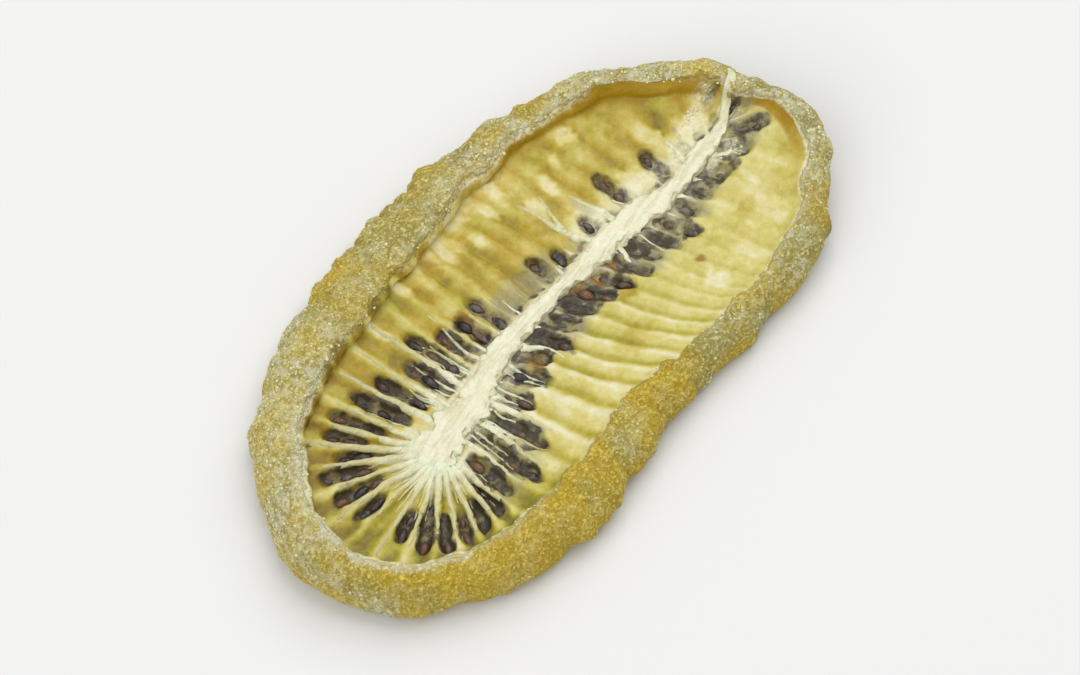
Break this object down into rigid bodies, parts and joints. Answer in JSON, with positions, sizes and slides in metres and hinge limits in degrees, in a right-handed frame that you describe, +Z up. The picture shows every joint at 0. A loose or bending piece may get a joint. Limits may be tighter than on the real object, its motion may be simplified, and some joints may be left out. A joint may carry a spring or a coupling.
{
  "type": "dried kiwi slice",
  "caption": "Lengthwise slice of dried kiwi with a pale core, dark seeds in ribbed translucent flesh and a thick frosted rim; it lies flat.",
  "frame": {"origin": "middle of the bounding box in X and Y, on the surface that the slice lies on", "axes": "+X along the slice, from the broad end where the ribs fan out to the thin tip of the core; +Z up, out of the face that shows the core and the seeds"},
  "size_m": [0.063, 0.0348, 0.0065],
  "materials": {
    "dried_fruit": "satin",
    "seed": "satin",
    "core": "matte",
    "frost": "matte"
  },
  "bodies": {
    "root": {"kiwi_slice": "dried_fruit"}
  },
  "joints": []
}
